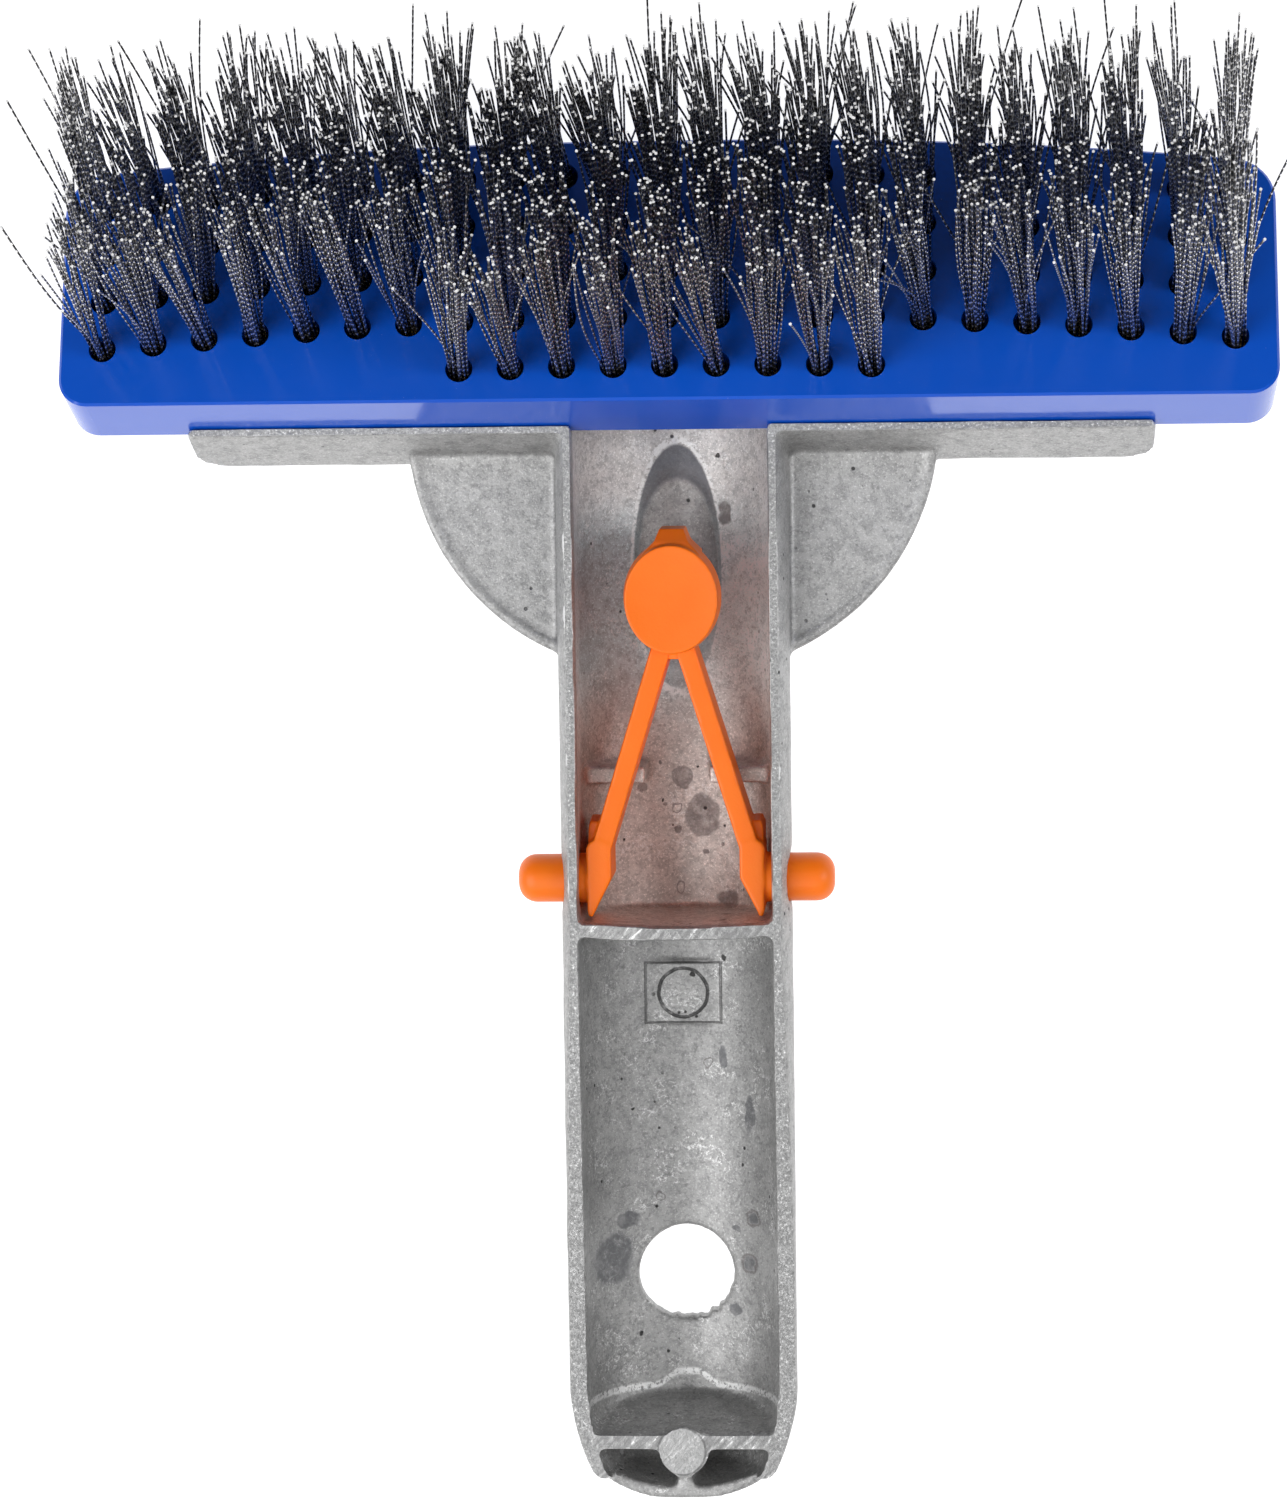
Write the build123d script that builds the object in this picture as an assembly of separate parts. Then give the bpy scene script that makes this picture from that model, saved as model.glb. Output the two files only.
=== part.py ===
from build123d import *
import math
import os

# Wall brush head for swimming pools. Millimetres. The origin lies on the pole axis, level with the
# two lock pins. +Y runs up the pole to the brush block, +X is the long way of the block, and +Z
# points out of the open side of the handle channel.

BEYOND = 60.0                   # how far cutting shapes run past the part

# ---- handle channel -------------------------------------------------------------------------
HANDLE_RADIUS = 14.3            # slides inside a pole of 29 mm bore
WALL = 2.4
CAVITY_RADIUS = HANDLE_RADIUS - WALL
RIM_HIGH = 5.9                  # rim of the channel above the pole axis, from the head to the pins
RIM_LOW = 1.2                   # rim near the tip
RIM_DROP_START = -7.5
RIM_DROP_END = -62.0
NOSE_START = -65.0
NOSE_SHOULDER_Y = -75.3
NOSE_SHOULDER_RADIUS = 11.6
NOSE_BULGE = 0.5                # how far the side swells out before the shoulder
NOSE_ROUND_SHARE = 0.6          # where the blunt end starts to round, as a share of the shoulder
NOSE_ROUND_RISE = 0.8
NOSE_SIDE_WALL = 1.9
NOSE_HOLLOW_SHOULDER_Y = -75.6  # where the hollow of the nose turns in
NOSE_TIP_WALL = 1.3
NOSE_LIP_Y = -76.2              # the rim ends here and a low lip closes the nose
NOSE_LIP_TOP = -1.4
TIP_Y = -79.2
HEEL_Y = 84.0                   # where the channel runs out under the block
CAVITY_HEAD_Y = 74.0

# ---- walls and details inside the channel ---------------------------------------------------
WALL_ROOT = 13.0                # inner walls run this far from the axis, into the channel's side
CROSS_WALL_FACE_Y = -5.4
CROSS_WALL_THICK = 1.8
CROSS_WALL_CURVE = 144.0
CROSS_WALL_LENGTH = 8.0         # along the pole axis, enough for its curve
LEDGE_FACE_Y = 13.5
LEDGE_THICK = 2.2
LEDGE_TOP = -3.0
LEDGE_INNER_X = 4.0
LEDGE_OUTER_X = 12.6
END_WALL_BASE_Y = -67.6
END_WALL_RIM_Y = -70.5
END_WALL_THICK = 2.0
BOSS_Y = -72.6
BOSS_RADIUS = 3.15
NOSE_RIB_WIDTH = 2.0
NOSE_RIB_DROP = 0.6
DRAIN_HOLE_Y = -52.5
DRAIN_HOLE_RADIUS = 6.15
FLOOR_PAD_Y = -16.3
FLOOR_PAD_WIDTH = 9.5
FLOOR_PAD_LENGTH = 7.7
FLOOR_PAD_TOP = -11.0
EJECTOR_MARK_RADIUS = 3.1
EJECTOR_MARK_WIDTH = 0.35
EJECTOR_MARK_DEPTH = 0.25
SCOOP_RADIUS = 5.55
SCOOP_HEAD_Y = 53.3
SCOOP_TAIL_Y = 22.0
SCOOP_FLATNESS = 0.62
SCOOP_CENTRE_Z = -9.9

# ---- head: seat for the block, flange and gussets -------------------------------------------
HEAD_ANGLE = 68.0               # from the pole axis to the way the bristles point
SEAT_Y = 55.6                   # front edge of the seat
SEAT_Z = 3.5
FLANGE_HALF = 59.0
PLATE_THICK = 2.6
PLATE_DEPTH = 27.5
PLATE_CORNER = 7.0
LIP_THICK = 0.95
LIP_GAP = 0.1
RIB_BACK_Y = 2.2
RIB_DEPTH = 9.6
RIB_CORNER = 4.0
RIB_SPARE = 5.0                 # drawn above the seat and cut away with the block's space
GUSSET_TOP = -1.2
GUSSET_THICK = 3.0
GUSSET_RADIUS = 30.3
GUSSET_CENTRE_X = 2.4
GUSSET_CENTRE_Y = 55.6
GUSSET_INNER_X = 9.0
GUSSET_HEAD_Y = 53.6
BEAD_WIDTH = 1.0
BEAD_HEIGHT = 0.35

# ---- block ----------------------------------------------------------------------------------
COLUMNS = 23
ROWS = 4
LONG_COLUMNS = range(7, 16)     # the nine middle columns have one row more, at the front
PITCH_X = 6.2
PITCH_Y = 6.1
END_MARGIN = 5.2                # from the last column to the end of the block
REAR_MARGIN = 4.6               # from the rear row to the rear edge
BLOCK_HALF = (COLUMNS - 1) / 2 * PITCH_X + END_MARGIN
BLOCK_DEPTH = 33.4
BLOCK_THICK = 11.0
BACK_FLAT = 7.0                 # half-length of the straight middle of the rear edge
BACK_SAG = 3.9                  # how far the rear edge falls towards the ends
FRONT_CORNER = 3.5
REAR_CORNER = 5.5
FACE_CHAMFER = 0.3
REAR_ROW_Y = BLOCK_DEPTH - REAR_MARGIN
HOLE_RADIUS = 1.65
HOLE_DEPTH = 7.0

# ---- bristles and their anchors -------------------------------------------------------------
TUFT_LENGTH = 40.0              # beyond the face of the block
TUFT_ROOT_RADIUS = 1.5
TUFT_TIP_RADIUS = 2.85
ANCHOR_LENGTH = 3.7
ANCHOR_WIDTH = 0.5
ANCHOR_HEIGHT = 1.6
ANCHOR_SINK = 0.6
SLOT_CLEAR = 0.05

# ---- screws from the back of the flange -----------------------------------------------------
SCREW_COLUMNS = [-8.5, -3.5, 3.5, 8.5]     # in pitches from the middle of the block
SCREW_ROW = 1.5                 # in pitches in front of the rear row
SCREW_RADIUS = 1.6
SCREW_HEAD_RADIUS = 3.4
SCREW_HEAD_THICK = 2.0
SCREW_HEAD_ROUND = 1.0
SCREW_GRIP = 8.0
SCREW_END_ROOM = 0.5
SCREW_POINT = 0.8
SCREW_CLEAR = 0.05
CROSS_HALF_LENGTH = 1.9
CROSS_HALF_WIDTH = 0.4
CROSS_DEPTH = 1.1
PLATE_HOLE_RADIUS = 2.0
SCREW_BOSS_RADIUS = 5.0
SCREW_BOSS_THICK = 1.2

# ---- lock clip ------------------------------------------------------------------------------
PIN_RADIUS = 3.0
PIN_ROUND = 2.25                # radius of the round on the pin's free end
PIN_NECK_RADIUS = 3.15          # where the pin leaves its foot; it tapers through the wall
PIN_NECK_END_X = 14.4
PIN_HOLE_RADIUS = 3.45
PIN_TIP_X = 19.6
FOOT_INNER_X = 8.3
FOOT_OUTER_X = 10.7
FOOT_PLATE_INNER_X = 9.3
FOOT_TOP = 3.4
FOOT_BOTTOM = -4.2
FOOT_HEAD_Y = 4.6
FOOT_TOE_Y = -4.7
FOOT_TOE_WIDTH = 0.6
FOOT_SLANT_Y = -0.8
FOOT_PLATE_STEP = 0.2
SHOULDER_Y = 6.8
ROOT_X = 2.1
ROOT_Y = 26.6
KNUCKLE_RADIUS = 1.35
KNUCKLE_CLEAR = 0.12
LEG_THICK = 2.5
LEG_END_X = 9.0
LEG_END_Y = 4.4
LEG_TOP = 2.2
LEG_BOTTOM = -2.8
JOIN = 0.5                      # how far solids of one moulding run into each other
PAD_Y = 35.0
PAD_HALF_X = 6.05
PAD_HALF_Y = 7.0
PAD_TOP = 6.0
PAD_THICK = 4.2
PAD_ROUND = 0.5
DISH_RADIUS = 30.0
DISH_DEPTH = 0.55
STEM_HALF = 3.4
STEM_START_Y = 29.6
STEM_HEAD_Y = 40.5
STEM_BOTTOM = -5.0
WEB_HALF = 4.1
WEB_HEAD_Y = 30.6
TAB_HALF = 1.55
TAB_START_Y = 40.0
TAB_HEAD_Y = 43.4
TAB_TOP = 1.0

seat = Plane(
    origin=(0, SEAT_Y, SEAT_Z),
    x_dir=(1, 0, 0),
    z_dir=(0, math.cos(math.radians(HEAD_ANGLE)), math.sin(math.radians(HEAD_ANGLE))),
)


def span(x0, x1, y0, y1, z0, z1):
    """A box between two corners."""
    middle = Pos((x0 + x1) / 2, (y0 + y1) / 2, (z0 + z1) / 2)
    return middle * Box(abs(x1 - x0), abs(y1 - y0), abs(z1 - z0))


def rear_edge_shift(x):
    """How far the rear edge, and the rows that follow it, fall towards the front at x."""
    beyond = max(abs(x) - BACK_FLAT, 0)
    return BACK_SAG * (beyond / (BLOCK_HALF - BACK_FLAT)) ** 2


def tuft_places(column):
    """Centres of one column's tufts, in the seat's plane, from the rear row to the front."""
    x = (column - (COLUMNS - 1) / 2) * PITCH_X
    rows = ROWS + 1 if column in LONG_COLUMNS else ROWS
    return [(x, REAR_ROW_Y - rear_edge_shift(x) - row * PITCH_Y) for row in range(rows)]


def side_profile(points):
    """A face in the YZ plane through the given (y, z) points."""
    return make_face(Polyline(*[(0, y, z) for y, z in points], close=True))


# ---- handle casting -------------------------------------------------------------------------
def nose_solid(radius, shoulder_radius, shoulder_y, tip_y, head_y):
    """A round bar along Y with a blunt rounded nose."""
    bend_x = (radius + shoulder_radius) / 2 + NOSE_BULGE
    bend_y = (NOSE_START + shoulder_y) / 2
    round_point = (shoulder_radius * NOSE_ROUND_SHARE, tip_y + NOSE_ROUND_RISE)
    outline = Curve() + [
        ThreePointArc((0, tip_y), round_point, (shoulder_radius, shoulder_y)),
        ThreePointArc((shoulder_radius, shoulder_y), (bend_x, bend_y), (radius, NOSE_START)),
        Polyline((radius, NOSE_START), (radius, head_y), (0, head_y), (0, tip_y)),
    ]
    return revolve(make_face(outline), Axis.Y)


def above_rim():
    """Everything over the ground rim of the channel."""
    profile = side_profile([
        (HEEL_Y + BEYOND, RIM_HIGH), (RIM_DROP_START, RIM_HIGH), (RIM_DROP_END, RIM_LOW),
        (NOSE_LIP_Y, RIM_LOW), (NOSE_LIP_Y, NOSE_LIP_TOP), (TIP_Y - BEYOND, NOSE_LIP_TOP),
        (TIP_Y - BEYOND, BEYOND), (HEEL_Y + BEYOND, BEYOND),
    ])
    return extrude(profile, FLANGE_HALF + BEYOND, both=True)


def channel_cavity():
    """The hollow of the channel, round below the pole axis and straight-sided above it."""
    shoulder_radius = NOSE_SHOULDER_RADIUS - NOSE_SIDE_WALL
    tip_y = TIP_Y + NOSE_TIP_WALL
    hollow = nose_solid(CAVITY_RADIUS, shoulder_radius, NOSE_HOLLOW_SHOULDER_Y, tip_y, CAVITY_HEAD_Y)
    sides = span(-CAVITY_RADIUS, CAVITY_RADIUS, NOSE_START, CAVITY_HEAD_Y, 0, HANDLE_RADIUS + JOIN)
    return hollow + sides


def cross_wall():
    """The thin bowed wall just behind the lock pins."""
    outer = Cylinder(CROSS_WALL_CURVE + CROSS_WALL_THICK, BEYOND)
    inner = Cylinder(CROSS_WALL_CURVE, BEYOND)
    ring = Pos(0, CROSS_WALL_FACE_Y + CROSS_WALL_CURVE, 0) * (outer - inner)
    tip_y = CROSS_WALL_FACE_Y - CROSS_WALL_LENGTH
    head_y = CROSS_WALL_FACE_Y + CROSS_WALL_LENGTH
    return ring & span(-WALL_ROOT, WALL_ROOT, tip_y, head_y, -WALL_ROOT, RIM_HIGH)


def ledges():
    """The two low stops that the clip's legs lie over."""
    y0 = LEDGE_FACE_Y - LEDGE_THICK
    right = span(LEDGE_INNER_X, LEDGE_OUTER_X, y0, LEDGE_FACE_Y, -WALL_ROOT, LEDGE_TOP)
    return right + mirror(right, Plane.YZ)


def end_wall():
    """The leaning wall near the tip, with its round boss and the short rib to the nose."""
    profile = side_profile([
        (END_WALL_BASE_Y, -WALL_ROOT), (END_WALL_RIM_Y, RIM_LOW),
        (END_WALL_RIM_Y - END_WALL_THICK, RIM_LOW), (END_WALL_BASE_Y - END_WALL_THICK, -WALL_ROOT),
    ])
    wall = extrude(profile, WALL_ROOT, both=True)
    boss_middle = (RIM_LOW - WALL_ROOT) / 2
    boss = Pos(0, BOSS_Y, boss_middle) * Cylinder(BOSS_RADIUS, RIM_LOW + WALL_ROOT)
    half = NOSE_RIB_WIDTH / 2
    rib = span(-half, half, TIP_Y, BOSS_Y, -WALL_ROOT, RIM_LOW - NOSE_RIB_DROP)
    return wall + boss + rib


def floor_pad():
    """A flat raised square on the floor with a round ejector mark."""
    half = FLOOR_PAD_WIDTH / 2
    y0 = FLOOR_PAD_Y - FLOOR_PAD_LENGTH / 2
    pad = span(-half, half, y0, y0 + FLOOR_PAD_LENGTH, -WALL_ROOT, FLOOR_PAD_TOP)
    height = 2 * EJECTOR_MARK_DEPTH
    inner_radius = EJECTOR_MARK_RADIUS - EJECTOR_MARK_WIDTH
    mark = Cylinder(EJECTOR_MARK_RADIUS, height) - Cylinder(inner_radius, height)
    return pad - Pos(0, FLOOR_PAD_Y, FLOOR_PAD_TOP) * mark


def scoop():
    """The long oval hollow in the floor near the head."""
    length = SCOOP_HEAD_Y - SCOOP_TAIL_Y
    ball = Sphere(SCOOP_RADIUS)
    stretched = scale(ball, by=(1, length / 2 / SCOOP_RADIUS, SCOOP_FLATNESS))
    middle = (SCOOP_HEAD_Y + SCOOP_TAIL_Y) / 2
    return Pos(0, middle, SCOOP_CENTRE_Z) * stretched


def flange():
    """The plate under the block and the deep rib along its front, with the low lip on top."""
    half = FLANGE_HALF
    outline = Rectangle(2 * half, PLATE_DEPTH, align=(Align.CENTER, Align.MIN))
    rear = outline.vertices().group_by(Axis.Y)[-1]
    plate = extrude(seat * fillet(rear, PLATE_CORNER), -PLATE_THICK)
    face = Plane(origin=seat.from_local_coords((0, RIB_BACK_Y, 0)), x_dir=(1, 0, 0), z_dir=seat.y_dir)
    strip = Rectangle(2 * half, RIB_DEPTH + RIB_SPARE)
    strip = fillet(strip.vertices(), RIB_CORNER)
    reach = RIB_BACK_Y + LIP_GAP + LIP_THICK
    rib = extrude(face * Pos(0, (RIB_DEPTH - RIB_SPARE) / 2) * strip, -reach)
    return plate + rib


def screw_bosses():
    """Round pads under the screw heads, on the back of the plate."""
    solids = []
    for x, y in screw_centres():
        centre = seat * Pos(x, y, -PLATE_THICK - SCREW_BOSS_THICK / 2)
        solids.append(centre * Cylinder(SCREW_BOSS_RADIUS, SCREW_BOSS_THICK))
    return solids


def gussets():
    """The two quarter-round webs between the channel and the flange, with a bead on the arc."""
    reach = span(GUSSET_INNER_X, BEYOND, 0, GUSSET_HEAD_Y, -HANDLE_RADIUS, HANDLE_RADIUS)
    middle = GUSSET_TOP - GUSSET_THICK / 2
    disc = Pos(GUSSET_CENTRE_X, GUSSET_CENTRE_Y, middle) * Cylinder(GUSSET_RADIUS, GUSSET_THICK)
    height = GUSSET_THICK + BEAD_HEIGHT
    ring = Cylinder(GUSSET_RADIUS, height) - Cylinder(GUSSET_RADIUS - BEAD_WIDTH, height)
    bead = Pos(GUSSET_CENTRE_X, GUSSET_CENTRE_Y, middle + BEAD_HEIGHT / 2) * ring
    right = (disc + bead) & reach
    return right + mirror(right, Plane.YZ)


def block_space():
    """What the block takes up, with a hair of room in front of it, up past the rim."""
    wide = BLOCK_HALF + BEYOND
    return seat * span(-wide, wide, -LIP_GAP, BEYOND, 0, BEYOND)


def handle_casting():
    """Channel, inner walls, gussets and flange in one casting."""
    bar = nose_solid(HANDLE_RADIUS, NOSE_SHOULDER_RADIUS, NOSE_SHOULDER_Y, TIP_Y, HEEL_Y)
    hollow = channel_cavity() - cross_wall() - ledges() - end_wall() - floor_pad()
    body = bar + gussets() + flange() + screw_bosses()
    body -= hollow
    body -= above_rim()
    body -= block_space()
    body -= scoop()
    body -= Rot(0, 90, 0) * Cylinder(PIN_HOLE_RADIUS, BEYOND)
    body -= Pos(0, DRAIN_HOLE_Y, -CAVITY_RADIUS) * Cylinder(DRAIN_HOLE_RADIUS, CAVITY_RADIUS)
    for x, y in screw_centres():
        body -= seat * Pos(x, y, -PLATE_THICK) * Cylinder(PLATE_HOLE_RADIUS, 4 * PLATE_THICK)
    return body


# ---- block, bristles and anchors ------------------------------------------------------------
def block_outline():
    """Straight front, square ends and a rear edge that falls in two shallow arcs to the ends."""
    half = BLOCK_HALF
    middle_x = (BACK_FLAT + half) / 2
    end_y = BLOCK_DEPTH - BACK_SAG
    middle_y = BLOCK_DEPTH - rear_edge_shift(middle_x)
    edges = [
        Line((-half, 0), (half, 0)),
        Line((half, 0), (half, end_y)),
        ThreePointArc((half, end_y), (middle_x, middle_y), (BACK_FLAT, BLOCK_DEPTH)),
        Line((BACK_FLAT, BLOCK_DEPTH), (-BACK_FLAT, BLOCK_DEPTH)),
        ThreePointArc((-BACK_FLAT, BLOCK_DEPTH), (-middle_x, middle_y), (-half, end_y)),
        Line((-half, end_y), (-half, 0)),
    ]
    return make_face(edges)


def brush_block():
    """The plastic block with its blind tuft holes and the pilot holes for the screws."""
    outline = block_outline()
    by_y = outline.vertices().group_by(Axis.Y)
    outline = fillet(by_y[0], FRONT_CORNER)
    rear = [v for v in outline.vertices() if abs(v.X) > BLOCK_HALF - FACE_CHAMFER and v.Y > BLOCK_DEPTH / 2]
    outline = fillet(rear, REAR_CORNER)
    block = extrude(outline, BLOCK_THICK)
    block = chamfer(block.faces().sort_by(Axis.Z)[-1].outer_wire().edges(), FACE_CHAMFER)
    hole_centre = BLOCK_THICK - HOLE_DEPTH / 2
    for column in range(COLUMNS):
        holes = [Pos(x, y, hole_centre) * Cylinder(HOLE_RADIUS, HOLE_DEPTH) for x, y in tuft_places(column)]
        block -= holes
    pilot = SCREW_RADIUS + SCREW_CLEAR
    for x, y in screw_centres():
        block -= Pos(x, y, SCREW_GRIP / 2) * Cylinder(pilot, SCREW_GRIP)
    return seat * block


def tuft():
    """One bundle of wires as a solid: straight in its hole, then slightly flared."""
    bottom = BLOCK_THICK - HOLE_DEPTH
    outline = Polyline(
        (0, bottom), (TUFT_ROOT_RADIUS, bottom), (TUFT_ROOT_RADIUS, BLOCK_THICK),
        (TUFT_TIP_RADIUS, BLOCK_THICK + TUFT_LENGTH), (0, BLOCK_THICK + TUFT_LENGTH), close=True)
    bundle = revolve(make_face(Plane.XZ * outline), Axis.Z)
    slot_top = bottom + ANCHOR_HEIGHT - ANCHOR_SINK + SLOT_CLEAR
    half = ANCHOR_WIDTH / 2 + SLOT_CLEAR
    return bundle - span(-ANCHOR_LENGTH, ANCHOR_LENGTH, -half, half, 0, slot_top)


def anchor():
    """The flat brass staple that holds a tuft down and bites into the block."""
    bottom = BLOCK_THICK - HOLE_DEPTH - ANCHOR_SINK
    half = ANCHOR_LENGTH / 2
    return span(-half, half, -ANCHOR_WIDTH / 2, ANCHOR_WIDTH / 2, bottom, bottom + ANCHOR_HEIGHT)


def bristle_column(column):
    return Compound([seat * Pos(x, y, 0) * tuft() for x, y in tuft_places(column)])


def staple_row(row):
    columns = LONG_COLUMNS if row == ROWS else range(COLUMNS)
    centres = [tuft_places(column)[row] for column in columns]
    return Compound([seat * Pos(x, y, 0) * anchor() for x, y in centres])


# ---- screws ---------------------------------------------------------------------------------
def screw_centres():
    """Between the tuft holes, in the seat's plane."""
    between_rows = REAR_ROW_Y - SCREW_ROW * PITCH_Y
    places = [column * PITCH_X for column in SCREW_COLUMNS]
    return [(x, between_rows - rear_edge_shift(x)) for x in places]


def block_screw(place):
    """A pan-head screw, with its cross recess, seen from behind the flange."""
    under = -PLATE_THICK - SCREW_BOSS_THICK
    length = SCREW_GRIP - SCREW_END_ROOM - under
    shank = Pos(0, 0, under + length / 2) * Cylinder(SCREW_RADIUS, length)
    shank = chamfer(shank.edges().sort_by(Axis.Z)[-1], SCREW_POINT)
    head = Pos(0, 0, under - SCREW_HEAD_THICK / 2) * Cylinder(SCREW_HEAD_RADIUS, SCREW_HEAD_THICK)
    head = fillet(head.edges().sort_by(Axis.Z)[0], SCREW_HEAD_ROUND)
    foot = under - SCREW_HEAD_THICK
    long, wide = CROSS_HALF_LENGTH, CROSS_HALF_WIDTH
    cross = span(-long, long, -wide, wide, foot - CROSS_DEPTH, foot + CROSS_DEPTH)
    cross += span(-wide, wide, -long, long, foot - CROSS_DEPTH, foot + CROSS_DEPTH)
    return seat * Pos(place[0], place[1], 0) * (shank + head - cross)


# ---- lock clip ------------------------------------------------------------------------------
def lock_pin():
    """A round pin along X: a tapered neck through the wall, then a straight end with a domed tip."""
    along_x = Rot(0, 90, 0)
    neck_start = FOOT_OUTER_X - JOIN
    neck_middle = Pos((neck_start + PIN_NECK_END_X) / 2, 0, 0)
    neck = neck_middle * along_x * Cone(PIN_NECK_RADIUS, PIN_RADIUS, PIN_NECK_END_X - neck_start)
    end_start = PIN_NECK_END_X - JOIN
    end_middle = Pos((end_start + PIN_TIP_X) / 2, 0, 0)
    end = end_middle * along_x * Cylinder(PIN_RADIUS, PIN_TIP_X - end_start)
    return neck + fillet(end.edges().sort_by(Axis.X)[-1], PIN_ROUND)


def clip_leg_right():
    """One springy leg, with its foot, the round plate at the wall and the lock pin."""
    along = math.atan2(LEG_END_Y - ROOT_Y, LEG_END_X - ROOT_X)
    length = math.hypot(LEG_END_X - ROOT_X, LEG_END_Y - ROOT_Y)
    height = LEG_TOP - LEG_BOTTOM
    middle = Pos((ROOT_X + LEG_END_X) / 2, (ROOT_Y + LEG_END_Y) / 2, (LEG_TOP + LEG_BOTTOM) / 2)
    leg = middle * Rot(0, 0, math.degrees(along)) * Box(length, LEG_THICK, height)
    knuckle = Pos(ROOT_X, ROOT_Y, (LEG_TOP + LEG_BOTTOM) / 2) * Cylinder(KNUCKLE_RADIUS, height)
    foot_outline = Polyline(
        (FOOT_INNER_X, FOOT_HEAD_Y), (FOOT_OUTER_X, FOOT_HEAD_Y), (FOOT_OUTER_X, FOOT_TOE_Y),
        (FOOT_OUTER_X - FOOT_TOE_WIDTH, FOOT_TOE_Y), (FOOT_INNER_X, FOOT_SLANT_Y), close=True)
    foot = extrude(make_face(foot_outline), FOOT_TOP)
    foot += extrude(make_face(foot_outline), FOOT_BOTTOM)
    half_length = (SHOULDER_Y - FOOT_TOE_Y) / 2
    plate_face = make_face(Plane.YZ * Ellipse(half_length, FOOT_TOP - FOOT_PLATE_STEP))
    plate_face = Pos(FOOT_PLATE_INNER_X, (SHOULDER_Y + FOOT_TOE_Y) / 2, 0) * plate_face
    plate = extrude(plate_face, FOOT_OUTER_X - FOOT_PLATE_INNER_X, dir=(1, 0, 0))
    return leg + knuckle + foot + plate + lock_pin()


def clip_pad():
    """The oval finger pad with its dished top, its stem, and the web that holds the two legs."""
    oval = Pos(0, PAD_Y, PAD_TOP - PAD_THICK) * Ellipse(PAD_HALF_X, PAD_HALF_Y)
    pad = extrude(oval, PAD_THICK)
    pad = fillet(pad.edges().sort_by(Axis.Z)[-1], PAD_ROUND)
    pad -= Pos(0, PAD_Y, PAD_TOP + DISH_RADIUS - DISH_DEPTH) * Sphere(DISH_RADIUS)
    stem_top = PAD_TOP - PAD_THICK + JOIN
    stem = span(-STEM_HALF, STEM_HALF, STEM_START_Y, STEM_HEAD_Y, STEM_BOTTOM, stem_top)
    tab = span(-TAB_HALF, TAB_HALF, TAB_START_Y, TAB_HEAD_Y, STEM_BOTTOM, TAB_TOP)
    web = span(-WEB_HALF, WEB_HALF, ROOT_Y, WEB_HEAD_Y, LEG_BOTTOM, LEG_TOP)
    body = pad + stem + tab + web
    socket = KNUCKLE_RADIUS + KNUCKLE_CLEAR
    for side in (-1, 1):
        body -= Pos(side * ROOT_X, ROOT_Y, 0) * Cylinder(socket, BEYOND)
    return body


def write(name, shape):
    """Save one node."""
    shape.label = name
    export_step(shape, f"parts/{name}.step")


def main():
    os.makedirs("parts", exist_ok=True)
    write("handle_casting", handle_casting())
    write("brush_block", brush_block())
    for column in range(COLUMNS):
        write(f"bristle_column_{column + 1:02d}", bristle_column(column))
    for row in range(ROWS + 1):
        write(f"staple_row_{row + 1}", staple_row(row))
    for number, place in enumerate(screw_centres(), start=1):
        write(f"block_screw_{number}", block_screw(place))
    leg = clip_leg_right()
    write("clip_leg_right", leg)
    write("clip_leg_left", mirror(leg, Plane.YZ))
    write("clip_pad", clip_pad())


main()
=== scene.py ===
import math

import bmesh
import bpy
import numpy as np
from mathutils import Matrix, Vector, noise


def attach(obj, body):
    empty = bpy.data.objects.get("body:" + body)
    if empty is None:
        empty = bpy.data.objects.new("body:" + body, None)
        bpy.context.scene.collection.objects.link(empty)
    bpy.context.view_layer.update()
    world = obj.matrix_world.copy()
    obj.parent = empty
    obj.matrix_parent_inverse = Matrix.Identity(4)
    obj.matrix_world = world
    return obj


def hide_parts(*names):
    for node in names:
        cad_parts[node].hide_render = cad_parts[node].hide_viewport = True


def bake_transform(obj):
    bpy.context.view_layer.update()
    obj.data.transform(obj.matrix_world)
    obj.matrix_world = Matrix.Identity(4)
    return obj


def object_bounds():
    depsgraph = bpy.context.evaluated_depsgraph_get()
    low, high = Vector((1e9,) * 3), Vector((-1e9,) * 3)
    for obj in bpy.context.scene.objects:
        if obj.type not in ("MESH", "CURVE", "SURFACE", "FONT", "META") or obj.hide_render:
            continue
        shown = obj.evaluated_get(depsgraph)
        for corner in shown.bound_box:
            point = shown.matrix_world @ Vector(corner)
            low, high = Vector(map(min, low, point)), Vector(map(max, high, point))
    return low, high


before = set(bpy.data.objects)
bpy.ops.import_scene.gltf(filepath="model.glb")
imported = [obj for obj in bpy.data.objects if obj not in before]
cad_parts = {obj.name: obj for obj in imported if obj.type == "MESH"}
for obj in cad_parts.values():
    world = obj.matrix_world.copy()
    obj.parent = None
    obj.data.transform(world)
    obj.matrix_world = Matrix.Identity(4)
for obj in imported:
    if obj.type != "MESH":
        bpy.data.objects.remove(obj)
cad_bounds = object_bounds()

# The object is a pool wall brush: a blue block full of wire tufts on a cast aluminium handle with
# an orange lock clip. Everything is in metres in the frame of the CAD model: the origin is on the
# pole axis level with the lock pins, +Y points up the pole and +Z out of the open channel.
# A dimension multiplied by MM is in metres, and the plain ones are in millimetres.
MM = 0.001
HEAD_ANGLE = math.radians(68)           # from the pole axis to the way the bristles point
SEAT = Vector((0, 55.6, 3.5)) * MM      # front edge of the block's underside
ALONG_BRISTLES = Vector((0, math.cos(HEAD_ANGLE), math.sin(HEAD_ANGLE)))
TO_REAR = Vector((0, math.sin(HEAD_ANGLE), -math.cos(HEAD_ANGLE)))

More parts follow.
